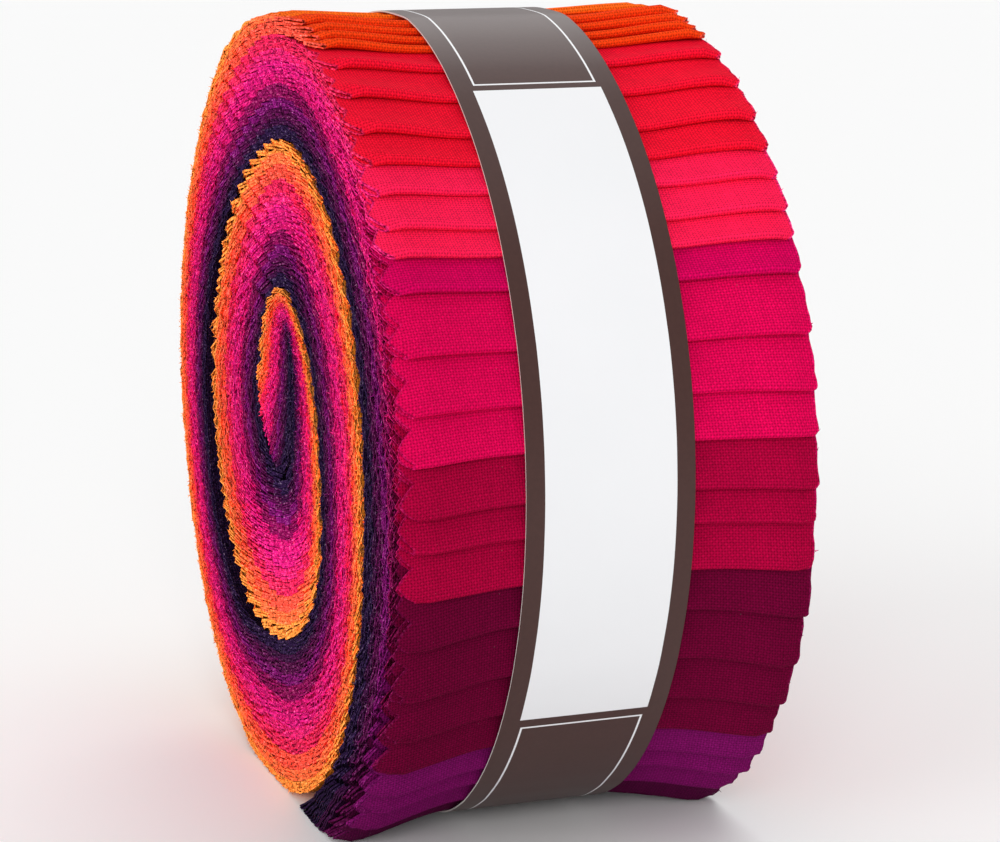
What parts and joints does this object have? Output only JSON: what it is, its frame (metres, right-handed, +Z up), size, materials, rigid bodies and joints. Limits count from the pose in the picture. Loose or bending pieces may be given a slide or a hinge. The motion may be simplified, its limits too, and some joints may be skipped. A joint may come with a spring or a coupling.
{
  "type": "roll of quilting fabric strips",
  "caption": "Roll of pre-cut pinked cotton quilting strips in shaded colours, wound into a wheel and held shut by a plain paper band.",
  "frame": {"origin": "middle of the flat spot that the roll rests on, under the middle of its box", "axes": "+X along the axis that the roll is wound round, -Y the front where the folded ends step down, +Z up"},
  "size_m": [0.0636, 0.1303, 0.1242],
  "materials": {
    "cotton": "matt plain-weave cotton, dyed in solid colours from amber through red to navy",
    "paper": "smooth coated paper, dark brown with a white panel"
  },
  "bodies": {
    "root": {"roll": "cotton", "band": "paper"}
  },
  "joints": []
}
